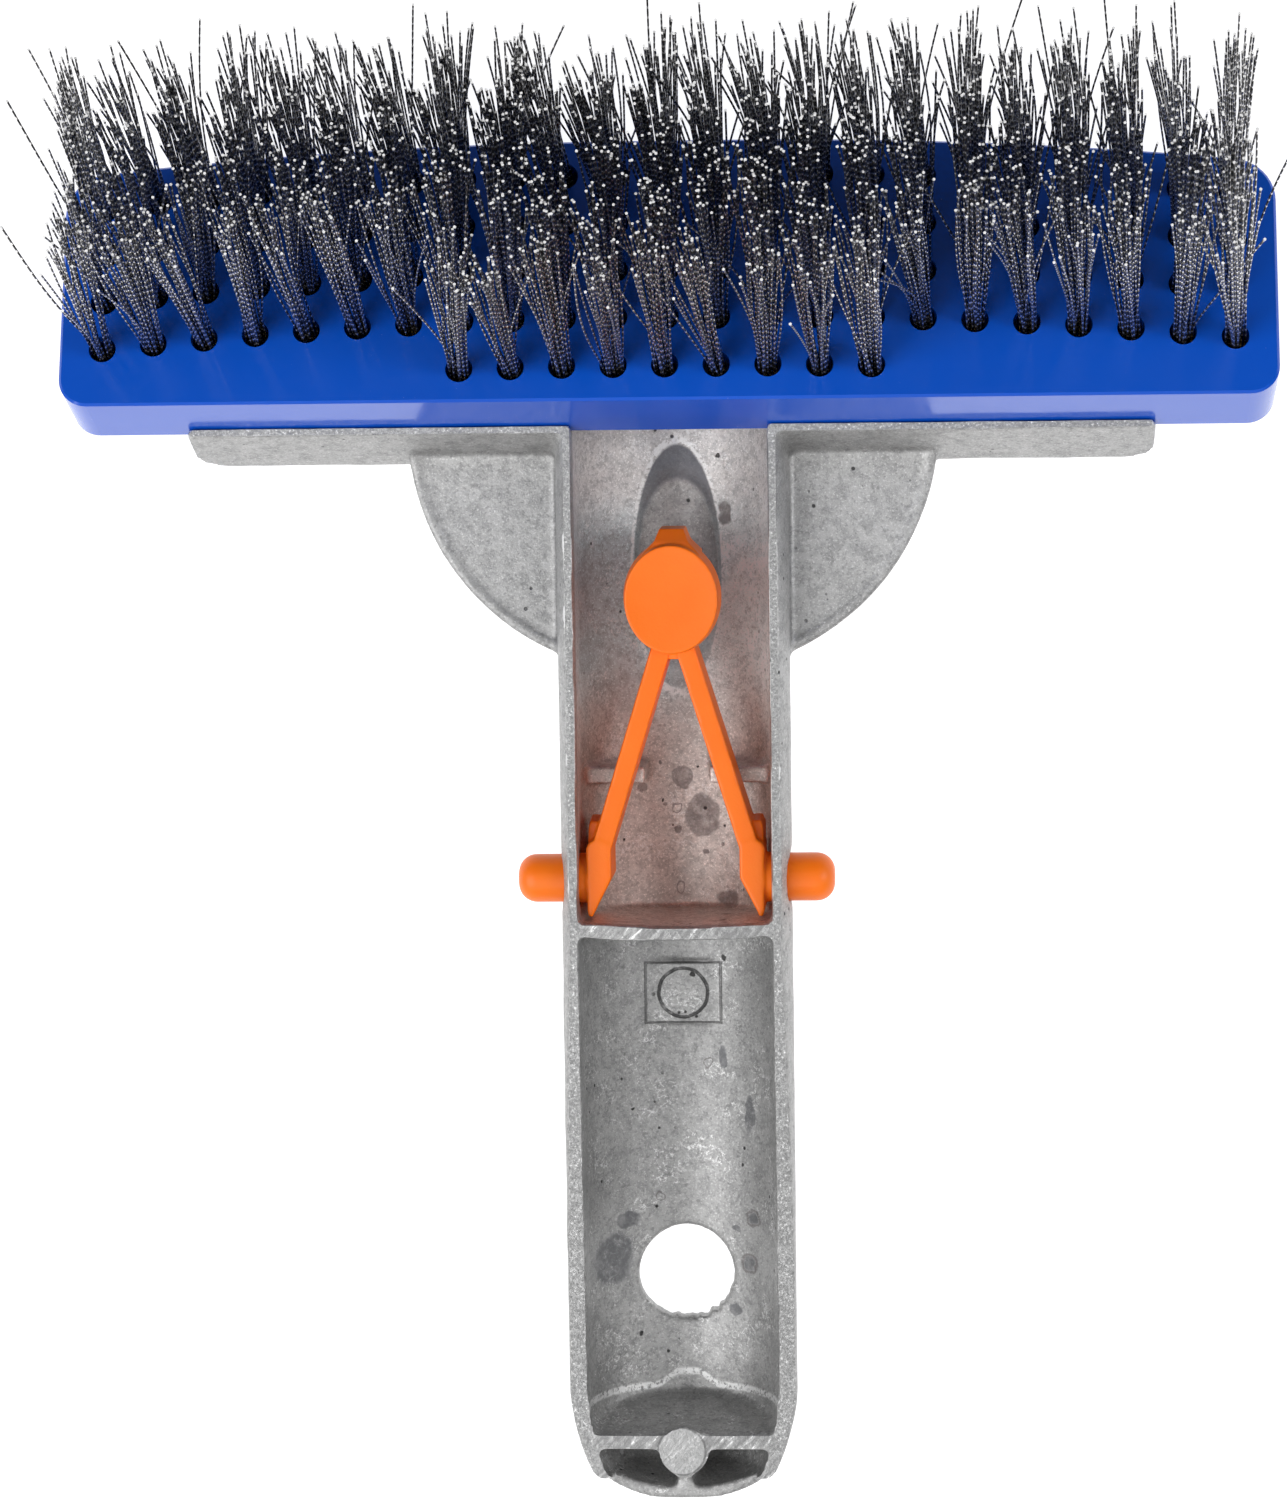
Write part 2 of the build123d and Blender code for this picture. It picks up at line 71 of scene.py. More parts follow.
# Handle casting.
RIM_Z = 5.9 * MM                        # the rim by the clip, level as far as the bend
RIM_BEND_Y = -7.5 * MM                  # from here the rim slopes down to the tip
RIM_LEVEL_Y = -62.0 * MM                # beyond this it is level again
RIM_LOW_Z = 1.2 * MM
RIM_SKIM = 0.16 * MM                    # ground off the rounded rims
CAST_VOXEL = 0.38
CAST_ROUNDS = 6
CAST_KEEP = 0.62                        # share of the remeshed faces that stays
DRAIN_Y = -52.5 * MM
FLASH_TOP = -6.0 * MM                   # the flash round the drain hole stays below this
FLASH_INNER = 5.4 * MM
FLASH_OUTER = 7.0 * MM
FLASH_RADIUS = 6.15 * MM                # where it is thickest
FLASH_SIDE = Vector((0.45, -0.89, 0))   # where it is worst, towards the tip and +X

# Block, tufts and wires.
COLUMNS = 23
ROWS = 4
LONG_COLUMNS = range(7, 16)             # these have one row more
SCREWS = 4
PITCH_X = 6.2
PITCH_Y = 6.1
BLOCK_HALF = 73.4
BACK_FLAT = 7.0                         # half-length of the straight middle of the rear edge
BACK_SAG = 3.9                          # how far the rear edge falls towards the ends
REAR_ROW_Y = 28.8
BLOCK_THICK = 11.0
WIRES_PER_TUFT = 30
WIRE_LENGTH = 37.6                      # beyond the face of the block
WIRE_BURIED = 5.0
WIRE_RADIUS = 0.13
WIRE_SIDES = 5
WIRE_RINGS = 11
CUT_LENGTH = 0.16                       # the last bit of a wire, flared by the shears
CUT_FLARE = 1.5
TUFT_ROOT_RADIUS = 1.25
TUFT_LEAN = -0.03                       # share of X by which a tuft leans towards the middle
STRAY_SHARE = 0.10                      # this share of the wires leans further and sticks out
STRAY_REACH = 6.0
STRAY_EXTRA = 3.0
CRIMP_PITCH = 1.75

# Lock clip.
LEG_ROOT = Vector((2.1, 26.6))
LEG_END = Vector((9.0, 4.4))
LEG_HALF_WIDTH = 1.4
LEG_TOP_HALF_WIDTH = 1.18
LEG_BOTTOM = -2.8
PIN_RADIUS = 3.0
PIN_NECK_RADIUS = 3.15
PIN_STRAIGHT_X = 17.35                  # the round on the free end starts here
PIN_ROUND = 2.25
PIN_ROUND_STEPS = 8
PAD_Y = 35.0
PAD_DISH = 0.22
LEG_VOXEL = 0.19
PAD_VOXEL = 0.17
CLIP_ROUNDS = 3

# Studio: table, lights (name, place, size and watts), sky and camera, in metres and radians.
FLOOR_REACH = 3.0
FLOOR_GAP = 0.4 * MM
LIGHT_TARGET = Vector((0, 0.02, 0))
LIGHTS = [
    ("key", (-0.62, -0.20, 0.80), (0.8, 0.8), 7.2),
    ("fill", (0.75, 0.10, 0.65), (0.35, 0.6), 3.8),
    ("front", (0.05, -0.60, 0.90), (0.8, 0.3), 0.9),
]
SKY_TOWARD = (-0.25, -0.55, 0.80)       # the brightest part of the sky
SKY_DIM = 0.07
SKY_BRIGHT = 0.48
CAMERA_PLACE = (0.0335, 0.0850, 0.600)
CAMERA_PITCH = -0.1147
CAMERA_YAW = 0.0619
CAMERA_ROLL = -0.0068
CAMERA_LENS = 117.5

# Marks in the channel and on the boss: x, y and half sizes, or x, y and radius.
STAINS = [
    (2.73, 6.26, 1.75, 2.3), (0.31, 11.05, 1.05, 1.2), (-0.42, 4.34, 0.55, 0.55),
    (5.9, -4.1, 1.5, 1.1), (-4.87, 9.89, 0.65, 0.6), (-1.99, 7.73, 0.25, 0.25),
    (-2.55, 12.91, 0.22, 0.25), (3.0, 1.6, 0.5, 0.4), (1.4, 22.5, 0.3, 0.3), (6.0, 44.5, 0.9, 1.6),
    (-9.0, -50.0, 2.4, 3.4), (8.1, -50.7, 0.8, 1.0), (8.7, -44.8, 0.7, 0.9), (6.2, -57.0, 0.9, 0.6),
    (6.4, -46.4, 0.6, 0.5), (-7.3, -45.2, 1.5, 1.1), (5.0, -24.6, 0.6, 1.4), (8.3, -31.5, 0.7, 2.4),
]
STAIN_RINGS = [
    (2.73, 6.26, 1.9, 2.45), (0.31, 11.05, 1.15, 1.3), (-0.61, 7.06, 0.55, 0.62),
    (-0.31, -2.97, 0.55, 0.6), (2.95, -25.49, 0.5, 0.6), (-3.25, -42.62, 0.55, 0.5),
    (8.1, -50.7, 1.0, 1.2), (8.7, -44.8, 0.9, 1.1),
]
PORES = [
    (5.0, -11.9, 0.34), (1.17, -14.1, 0.36), (5.1, 51.6, 0.3), (-4.6, 30.1, 0.24),
    (-2.3, 8.2, 0.16), (2.2, 12.3, 0.16), (-6.5, -31.0, 0.2), (7.2, -38.2, 0.22), (-5.8, -60.2, 0.25),
]
SCOOP = (0.0, 37.65, 5.6, 15.65)
EJECTOR = (0.0, -16.3, 3.1, 3.1)
# the floor pad, whose outline gets painted shade
FLOOR_PAD = (0.0, -16.3, 4.75, 3.85)
BOSS = (-0.3, -72.6, 3.0, 3.05)

rng = np.random.default_rng(20)


# ---- node helpers ---------------------------------------------------------------------------
class Nodes:
    """A short way to write a material's node tree."""

    def __init__(self, name):
        self.material = bpy.data.materials.new(name)
        self.material.use_nodes = True
        self.tree = self.material.node_tree
        self.bsdf = self.tree.nodes["Principled BSDF"]
        self.coords = self.add("ShaderNodeTexCoord").outputs["Object"]

    def add(self, kind, **values):
        node = self.tree.nodes.new(kind)
        for key, value in values.items():
            setattr(node, key, value)
        return node

    def link(self, source, target):
        if isinstance(source, (int, float, tuple)):
            target.default_value = source
        else:
            self.tree.links.new(source, target)

    def set(self, **values):
        for key, value in values.items():
            self.link(value, self.bsdf.inputs[key.replace("_", " ")])

    def noise(self, size_mm, detail=3.0, rough=0.55, stretch=(1, 1, 1), turn=(0, 0, 0)):
        """Noise of a grain size; a stretch below 1 makes it longer that way, and turn tilts it."""
        place = self.add("ShaderNodeMapping", vector_type="TEXTURE")
        place.inputs["Rotation"].default_value = turn
        place.inputs["Scale"].default_value = [1 / amount for amount in stretch]
        self.link(self.coords, place.inputs["Vector"])
        node = self.add("ShaderNodeTexNoise")
        node.inputs["Scale"].default_value = 1 / (size_mm * MM)
        node.inputs["Detail"].default_value = detail
        node.inputs["Roughness"].default_value = rough
        self.link(place.outputs["Vector"], node.inputs["Vector"])
        return node.outputs["Fac"]

    def cells(self, size_mm):
        node = self.add("ShaderNodeTexVoronoi")
        node.inputs["Scale"].default_value = 1 / (size_mm * MM)
        self.link(self.coords, node.inputs["Vector"])
        return node.outputs["Distance"]

    def steps(self, value, low, high, to_low=0.0, to_high=1.0):
        """A soft step from one value to another."""
        node = self.add("ShaderNodeMapRange", interpolation_type="SMOOTHSTEP")
        self.link(value, node.inputs["Value"])
        for key, number in (("From Min", low), ("From Max", high), ("To Min", to_low), ("To Max", to_high)):
            node.inputs[key].default_value = number
        return node.outputs["Result"]

    def math(self, operation, a, b=0.0):
        node = self.add("ShaderNodeMath", operation=operation)
        self.link(a, node.inputs[0])
        self.link(b, node.inputs[1])
        return node.outputs[0]

    def mix(self, factor, a, b):
        node = self.add("ShaderNodeMix", data_type="RGBA")
        self.link(factor, node.inputs["Factor"])
        self.link(a, node.inputs[6])
        self.link(b, node.inputs[7])
        return node.outputs[2]

    def vector(self, operation, a, b=(0.0, 0.0, 0.0)):
        node = self.add("ShaderNodeVectorMath", operation=operation)
        self.link(a, node.inputs[0])
        self.link(b, node.inputs[1])
        return node.outputs["Value" if operation == "LENGTH" else "Vector"]

    def scaled(self, a, amount):
        node = self.add("ShaderNodeVectorMath", operation="SCALE")
        self.link(a, node.inputs[0])
        self.link(amount, node.inputs["Scale"])
        return node.outputs["Vector"]

    def reach(self, place, x, y, half_x, half_y):
        """1 on the edge of an upright oval column, less inside it and more outside."""
        away = self.vector("SUBTRACT", place, (x, y, 0.0))
        return self.vector("LENGTH", self.vector("MULTIPLY", away, (1 / half_x, 1 / half_y, 0.0)))

    def scaled_axis(self, value, middle_mm, half_mm):
        """1 at either end of a stretch of an axis, less between them and more beyond."""
        off = self.math("DIVIDE", self.math("SUBTRACT", value, middle_mm * MM), half_mm * MM)
        return self.math("ABSOLUTE", off)

    def apart(self, value, middle):
        """How far a value is from another, either way."""
        return self.math("ABSOLUTE", self.math("SUBTRACT", value, middle))

    def product(self, *values):
        result = values[0]
        for value in values[1:]:
            result = self.math("MULTIPLY", result, value)
        return result

    def axis(self, letter):
        node = self.add("ShaderNodeSeparateXYZ")
        self.link(self.coords, node.inputs[0])
        return node.outputs[letter]

    def bump(self, height, depth_mm, below=None):
        node = self.add("ShaderNodeBump")
        node.inputs["Distance"].default_value = depth_mm * MM
        self.link(height, node.inputs["Height"])
        if below is not None:
            self.link(below, node.inputs["Normal"])
        return node.outputs["Normal"]


def grey(value, warm=0.0):
    """A grey, with more red and less blue if it is warm."""
    return (value * (1 + warm), value, value * (1 - warm), 1.0)


# ---- materials ------------------------------------------------------------------------------
def cast_marks(n):
    """Masks of the stains, dried rings, pores and ejector mark, and the reach of the scoop."""
    wobble = n.add("ShaderNodeTexNoise")
    wobble.inputs["Scale"].default_value = 1 / (1.6 * MM)
    n.link(n.coords, wobble.inputs["Vector"])
    shift = n.vector("SUBTRACT", wobble.outputs["Color"], (0.5, 0.5, 0.5))
    ragged = n.vector("ADD", n.scaled(n.coords, 1 / MM), n.scaled(shift, 1.1))
    exact = n.vector("ADD", n.scaled(n.coords, 1 / MM), n.scaled(shift, 0.25))
    stain, ring, pore = 0.0, 0.0, 0.0
    for place in STAINS:
        stain = n.math("MAXIMUM", stain, n.steps(n.reach(ragged, *place), 0.8, 1.12, 1.0, 0.0))
    for place in STAIN_RINGS:
        off = n.apart(n.reach(ragged, *place), 1.0)
        ring = n.math("MAXIMUM", ring, n.steps(off, 0.05, 0.24, 1.0, 0.0))
    for x, y, radius in PORES:
        spot = n.reach(ragged, x, y, radius, radius)
        pore = n.math("MAXIMUM", pore, n.steps(spot, 0.7, 1.1, 1.0, 0.0))
    ejector = n.steps(n.apart(n.reach(exact, *EJECTOR), 1.0), 0.03, 0.085, 1.0, 0.0)
    return stain, ring, pore, ejector, n.reach(exact, *SCOOP)


def film_and_painted_light(n, colour, x, y, bay):
    """The bay above the cross wall, brightened by painted light from the clip and head, most beside the pad
    towards +X, and warmed by the film left on it.
    """
    # Painted light: these gains brighten the bay, most beside the pad towards +X, and carry the film's warm
    # tint.
    painted_light_by_pad = n.mix(n.steps(x, -3 * MM, 7 * MM), (1.35, 1.55, 1.6, 1.0), (1.95, 2.15, 2.15, 1.0))
    film = n.mix(n.steps(y, 14 * MM, 28 * MM), (1.50, 1.42, 1.36, 1.0), painted_light_by_pad)
    film = n.mix(n.steps(y, 40 * MM, 49 * MM), film, (1.62, 1.58, 1.56, 1.0))
    lit = n.vector("MINIMUM", n.vector("MULTIPLY", colour, film), (0.97, 0.97, 0.97))
    return n.mix(bay, colour, lit)


def curly_scratches(n, grain, inside):
    """Thin bright curls, in patches."""
    curl = n.steps(n.apart(n.noise(1.3, 3, 0.6), 0.5), 0.012, 0.03, 1.0, 0.0)
    patch = n.steps(n.noise(5, 2), 0.5, 0.6)
    return n.product(curl, patch, inside, n.steps(grain, 0.42, 0.55))


def end_wall_foot(n, x, y, grain, inside):
    """A bright line where the end wall meets the floor, with a bump in the middle."""
    foot = n.steps(n.math("ABSOLUTE", x), 1.0 * MM, 4.2 * MM, -65.4 * MM, -67.0 * MM)
    line = n.steps(n.apart(y, foot), 0.25 * MM, 0.6 * MM, 1.0, 0.0)
    return n.product(line, inside, n.steps(grain, 0.38, 0.52))


def floor_pad_outline_shade(n, x, y):
    # A dark line of painted shade round the floor pad, where its step would be shaded.
    middle_x, middle_y, half_x, half_y = FLOOR_PAD
    square = n.math("MAXIMUM", n.scaled_axis(x, middle_x, half_x), n.scaled_axis(y, middle_y, half_y))
    return n.steps(n.apart(square, 1.0), 0.015, 0.045, 0.6, 0.0)


def cast_aluminium():
    """Dull as-cast metal: grain, pits, water stains and a warm film by the clip, with painted light in the
    bay, painted highlights on edges and the scoop's rim, and painted shade in inner corners, at the scoop's
    head and round the floor pad.
    """
    n = Nodes("cast_aluminium")
    patches = n.noise(9, 4)
    mottle = n.noise(1.7, 4, 0.65)
    grain = n.noise(0.5, 4, 0.7)
    speckle = n.noise(0.3, 2, 0.8)
    point = n.add("ShaderNodeNewGeometry").outputs["Pointiness"]
    x, y, z = n.axis("X"), n.axis("Y"), n.axis("Z")
    radius = n.math("SQRT", n.math("ADD", n.math("POWER", x, 2.0), n.math("POWER", z, 2.0)))
    inside = n.product(n.steps(radius, 12.5 * MM, 12.2 * MM), n.steps(z, 4.6 * MM, 4.2 * MM))
    on_floor = n.product(n.steps(radius, 11.0 * MM, 11.5 * MM), inside)
    bay = n.product(n.steps(y, -7 * MM, -5 * MM), inside)
    stain, ring, pore, ejector, scoop = cast_marks(n)

    colour = n.mix(n.steps(patches, 0.3, 0.7), grey(0.42, 0.004), grey(0.50, 0.004))
    colour = n.mix(n.steps(mottle, 0.44, 0.62, 0.0, 0.6), colour, grey(0.31))
    colour = n.mix(n.steps(speckle, 0.5, 0.75, 0.0, 0.6), colour, grey(0.82))
    colour = n.mix(n.steps(grain, 0.34, 0.5, 0.5, 0.0), colour, grey(0.20))
    colour = film_and_painted_light(n, colour, x, y, bay)
    colour = n.mix(n.product(curly_scratches(n, grain, inside), 0.75), colour, grey(0.9))

    # Painted shade darkens the scoop's head and a painted highlight brightens its rim; the end wall's foot
    # is bright.
    in_scoop = n.product(n.steps(scoop, 1.0, 0.96), inside)
    shade = n.product(in_scoop, n.steps(y, 40 * MM, 49 * MM, 0.35, 0.88))
    colour = n.mix(shade, colour, (0.13, 0.135, 0.155, 1.0))
    colour = n.mix(n.product(end_wall_foot(n, x, y, grain, inside), 0.8), colour, grey(0.95))
    scoop_rim_highlight = n.steps(n.apart(scoop, 1.02), 0.015, 0.05, 1.0, 0.0)
    scoop_rim_highlight = n.product(scoop_rim_highlight, inside, n.steps(grain, 0.4, 0.52), 0.7)
    colour = n.mix(scoop_rim_highlight, colour, grey(0.92))

    # Painted highlights brighten the edges and painted shade darkens the inner corners.
    edge = n.math("ADD", point, n.product(n.math("SUBTRACT", grain, 0.5), 0.10))
    painted_edge_highlight = n.product(n.steps(edge, 0.54, 0.60, 0.0, 0.75), n.math("SUBTRACT", 1.0, on_floor))
    colour = n.mix(painted_edge_highlight, colour, grey(0.86))
    colour = n.mix(n.steps(point, 0.485, 0.44, 0.0, 0.55), colour, grey(0.16))

    stains = n.product(stain, inside, n.steps(mottle, 0.3, 0.6, 0.45, 0.8))
    dirt = n.mix(bay, (0.165, 0.168, 0.178, 1.0), (0.20, 0.175, 0.17, 1.0))
    colour = n.mix(stains, colour, dirt)
    colour = n.mix(n.product(ring, inside, 0.55), colour, (0.14, 0.12, 0.12, 1.0))
    ejector = n.product(ejector, n.steps(mottle, 0.3, 0.55, 0.45, 0.95))
    # The floor pad's outline is painted shade, darkened along with the ejector mark.
    ejector = n.math("MAXIMUM", ejector, floor_pad_outline_shade(n, x, y))
    pits = n.product(n.steps(n.cells(2.1), 0.07, 0.13, 1.0, 0.0), n.steps(n.noise(11, 1), 0.5, 0.6))
    dark = n.math("MAXIMUM", n.product(n.math("MAXIMUM", pore, ejector), inside), pits)
    colour = n.mix(n.product(dark, 0.88), colour, grey(0.03))

    rough = n.steps(patches, 0.2, 0.8, 0.52, 0.66)
    normal = n.bump(mottle, 0.11, n.bump(patches, 0.10))
    normal = n.bump(grain, 0.06, normal)
    normal = n.bump(n.math("SUBTRACT", 1.0, dark), 0.14, normal)
    n.set(Base_Color=colour, Metallic=0.88, Roughness=rough, Normal=normal)
    return n.material


def ground_aluminium():
    """Sanded rims: granular grey metal with bright specks and fine slanting marks."""
    n = Nodes("ground_aluminium")
    scores = n.noise(0.5, 3, 0.6, stretch=(1, 0.16, 1), turn=(0, 0, math.radians(-42)))
    sand = n.noise(0.32, 3, 0.7)
    nicks = n.noise(0.7, 4, 0.75)
    across = n.steps(n.math("ABSOLUTE", n.axis("X")), 11.8 * MM, 11.3 * MM)
    marks = n.mix(across, sand, scores)
    colour = n.mix(n.steps(marks, 0.35, 0.65), grey(0.27), grey(0.47))
    colour = n.mix(n.steps(marks, 0.60, 0.68, 0.0, 0.8), colour, grey(0.95))
    colour = n.mix(n.steps(nicks, 0.50, 0.60, 0.0, 0.7), colour, grey(0.26))
    boss = n.reach(n.scaled(n.coords, 1 / MM), *BOSS)
    colour = n.mix(n.steps(boss, 0.98, 0.93, 0.0, 0.6), colour, n.mix(marks, grey(0.42), grey(0.52)))
    boss_edge = n.steps(n.apart(boss, 1.0), 0.02, 0.07, 0.6, 0.0)
    colour = n.mix(boss_edge, colour, grey(0.10))
    normal = n.bump(marks, 0.06, n.bump(nicks, 0.12))
    rough = n.steps(nicks, 0.3, 0.7, 0.36, 0.52)
    n.set(Base_Color=colour, Metallic=0.88, Roughness=rough, Normal=normal)
    return n.material


def blue_plastic():
    """Glossy moulded plastic with faint painted sheen streaks along Y and a little dust."""
    n = Nodes("blue_plastic")
    painted_sheen_streaks = n.noise(26, 2, 0.5, stretch=(1, 0.3, 1))
    dust = n.steps(n.noise(0.4, 2, 0.6), 0.76, 0.80)
    # Painted sheen: lighter streaks along Y.
    colour = n.mix(painted_sheen_streaks, (0.001, 0.076, 0.53, 1.0), (0.002, 0.094, 0.62, 1.0))
    colour = n.mix(n.math("MULTIPLY", dust, 0.3), colour, (0.35, 0.45, 0.75, 1.0))
    scratch = n.noise(0.9, 2, 0.5, stretch=(0.06, 1, 1), turn=(0, 0, math.radians(8)))
    skin = n.bump(scratch, 0.006, n.bump(n.noise(2.6, 2), 0.010))
    rough = n.steps(n.noise(3.5, 3), 0.3, 0.7, 0.10, 0.19)
    n.set(Base_Color=colour, Roughness=rough, Normal=skin)
    n.set(Coat_Weight=0.1, Coat_Roughness=0.06, IOR=1.5)
    return n.material


def orange_plastic():
    """Satin moulded plastic."""
    n = Nodes("orange_plastic")
    cloud = n.noise(6, 3)
    colour = n.mix(cloud, (1.0, 0.165, 0.0005, 1.0), (1.0, 0.198, 0.001, 1.0))
    skin = n.bump(n.noise(0.35, 3, 0.6), 0.02)
    n.set(Base_Color=colour, Roughness=n.steps(cloud, 0.2, 0.8, 0.36, 0.48), Normal=skin)
    n.set(Subsurface_Weight=0.10, Subsurface_Radius=(0.0012, 0.0005, 0.0002), IOR=1.46)
    return n.material


def wire_steel():
    """Stainless wire painted dark for the shade among the tufts, whose crimps catch the light as rows of
    dots, with painted highlights on them.
    """
    n = Nodes("wire_steel")
    shade = n.add("ShaderNodeAttribute", attribute_name="shade").outputs["Fac"]
    phase = n.add("ShaderNodeAttribute", attribute_name="crimp").outputs["Fac"]
    along = n.add("ShaderNodeAttribute", attribute_name="wire_axis").outputs["Vector"]
    painted_crimp_highlight = n.math("SINE", phase)
    slope = n.math("MULTIPLY", n.math("COSINE", phase), 0.24)
    surface = n.add("ShaderNodeNewGeometry").outputs["Normal"]
    leaning = n.vector("ADD", surface, n.scaled(along, slope))
    # Painted shade: the wires are kept dark, each a little lighter or darker at random; painted highlights
    # make the bright dots on the crimps.
    colour = n.mix(shade, grey(0.03, -0.02), grey(0.15, 0.03))
    colour = n.mix(n.steps(painted_crimp_highlight, 0.4, 0.95), colour, grey(0.95, 0.02))
    n.set(Base_Color=colour, Metallic=0.92, Roughness=0.28, Normal=n.vector("NORMALIZE", leaning))
    return n.material


def cut_end_glint():
    """The sheared ends of the wires, painted near-white as a painted highlight of their glint."""
    n = Nodes("cut_end_glint")
    burr = n.noise(0.1, 1)
    n.set(Base_Color=n.mix(burr, grey(0.94), grey(1.0)), Roughness=0.3)
    return n.material


def brass():
    """Tarnished brass strip."""
    n = Nodes("brass")
    tarnish = n.noise(0.8, 3)
    colour = n.mix(tarnish, (0.75, 0.50, 0.16, 1.0), (0.90, 0.66, 0.28, 1.0))
    n.set(Base_Color=colour, Metallic=1.0, Roughness=n.steps(tarnish, 0.3, 0.7, 0.22, 0.4))
    return n.material


def screw_steel():
    """Zinc-plated steel with turning marks."""
    n = Nodes("screw_steel")
    turning = n.noise(0.4, 2, 0.5, stretch=(1, 1, 0.2))
    colour = n.mix(turning, grey(0.50), grey(0.72))
    n.set(Base_Color=colour, Metallic=1.0, Roughness=0.3, Normal=n.bump(turning, 0.02))
    return n.material


# ---- mesh helpers ---------------------------------------------------------------------------
def put_in_scene(name, mesh):
    piece = bpy.data.objects.new(name, mesh)
    bpy.context.scene.collection.objects.link(piece)
    return piece


def copy_of(node, name):
    """A new piece with a welded copy of a CAD node's mesh."""
    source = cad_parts[node]
    bm = bmesh.new()
    bm.from_mesh(source.data)
    bm.transform(source.matrix_world)
    bmesh.ops.remove_doubles(bm, verts=bm.verts, dist=0.002 * MM)
    mesh = bpy.data.meshes.new(name)
    bm.to_mesh(mesh)
    bm.free()
    return put_in_scene(name, mesh)


def apply_modifiers(piece):
    graph = bpy.context.evaluated_depsgraph_get()
    mesh = bpy.data.meshes.new_from_object(piece.evaluated_get(graph))
    piece.modifiers.clear()
    piece.data = mesh


def soften(piece, voxel_mm, rounds, keep=1.0):
    """Rounds every edge and fillets every corner, as a mould does."""
    remesh = piece.modifiers.new("remesh", "REMESH")
    remesh.mode = "VOXEL"
    remesh.voxel_size = voxel_mm * MM
    smooth = piece.modifiers.new("smooth", "SMOOTH")
    smooth.iterations = rounds
    if keep < 1.0:
        thin = piece.modifiers.new("thin", "DECIMATE")
        thin.ratio = keep
    apply_modifiers(piece)


# ---- handle casting -------------------------------------------------------------------------
SLOPE = (Vector((0, RIM_BEND_Y, RIM_Z)) - Vector((0, RIM_LEVEL_Y, RIM_LOW_Z))).normalized()
SLOPE_UP = Vector((0, -SLOPE.z, SLOPE.y))
UP = Vector((0, 0, 1))
CUT_DIST = 1e-7                         # corners nearer to a cut than this are taken to be on it
ABOVE_CUT = 1e-8                        # faces whose middle is higher than this over a cut go
SEAM_DIST = 2e-6                        # corners nearer to the valley than this are on it


def part_of(bm, faces):
    """The faces with their edges and corners, as the bisect operator wants them."""
    edges = {e for f in faces for e in f.edges}
    verts = {v for f in faces for v in f.verts}
    return list(verts) + list(edges) + list(faces)


def bisect(bm, faces, point, normal, clear=False):
    return bmesh.ops.bisect_plane(
        bm, geom=part_of(bm, faces), plane_co=point, plane_no=normal, clear_outer=clear, dist=CUT_DIST)


def middle_y(edge):
    return (edge.verts[0].co.y + edge.verts[1].co.y) / 2


def grind_rims(bm):
    """Cuts the rounded rims off flat: level by the clip, sloping to the tip, then level again."""
    high = Vector((0, 0, RIM_Z - RIM_SKIM))
    slope = Vector((0, RIM_BEND_Y, RIM_Z)) - SLOPE_UP * RIM_SKIM
    low = Vector((0, RIM_LEVEL_Y, slope.z + (RIM_LEVEL_Y - slope.y) * SLOPE.z / SLOPE.y))
    cut = bisect(bm, bm.faces, high, UP, clear=True)
    close_cut(bm, [e for e in cut["geom_cut"] if isinstance(e, bmesh.types.BMEdge)], UP)

    # The slope and the low level meet in a valley, so each is cut only on its own side of it.
    bisect(bm, bm.faces, low, Vector((0, 1, 0)))
    head = [f for f in bm.faces if f.calc_center_median().y > RIM_LEVEL_Y]
    bisect(bm, head, slope, SLOPE_UP)
    tip = [f for f in bm.faces if f.calc_center_median().y < RIM_LEVEL_Y]
    bisect(bm, tip, low, UP)
    above = []
    for face in bm.faces:
        centre = face.calc_center_median()
        if centre.y > RIM_LEVEL_Y:
            over = (centre - slope).dot(SLOPE_UP)
        else:
            over = centre.z - low.z
        if over > ABOVE_CUT:
            above.append(face)
    bmesh.ops.delete(bm, geom=above, context="FACES")

    # Edges across the walls part the open outline into one flat loop on either side of the valley.
    open_edges = [e for e in bm.edges if len(e.link_faces) == 1]
    corners = {v for e in open_edges for v in e.verts}
    seam = [v for v in corners if (v.co - Vector((v.co.x, low.y, low.z))).length < SEAM_DIST]
    seam.sort(key=lambda v: v.co.x)
    bridges = [bm.edges.new(pair) for pair in zip(seam[::2], seam[1::2])]
    close_cut(bm, [e for e in open_edges if middle_y(e) > RIM_LEVEL_Y] + bridges, SLOPE_UP)
    close_cut(bm, [e for e in open_edges if middle_y(e) <= RIM_LEVEL_Y] + bridges, UP)


def close_cut(bm, edges, normal):
    """Fills a flat cut with faces of the ground material."""
    filled = bmesh.ops.triangle_fill(bm, use_beauty=True, use_dissolve=False, edges=edges)
    for edge in edges:
        if edge.is_valid:
            edge.smooth = False
    for item in filled["geom"]:
        if isinstance(item, bmesh.types.BMFace):
            item.material_index = 1
            item.smooth = False
            if item.normal.dot(normal) < 0:
                item.normal_flip()


def drain_flash(place):
    """Ragged flash left round the drain hole."""
    away = Vector((place.x, place.y - DRAIN_Y, 0))
    if place.z > FLASH_TOP or not FLASH_INNER < away.length < FLASH_OUTER:
        return Vector((0, 0, 0))
    worst = max(0.0, away.normalized().dot(FLASH_SIDE)) ** 2
    near = max(0.0, 1 - abs(away.length - FLASH_RADIUS) / (0.8 * MM))
    rough = 0.5 + noise.noise(Vector((place.x, place.y, 0)) / (0.9 * MM))
    return -away.normalized() * near * (0.05 + 0.55 * worst * rough) * MM


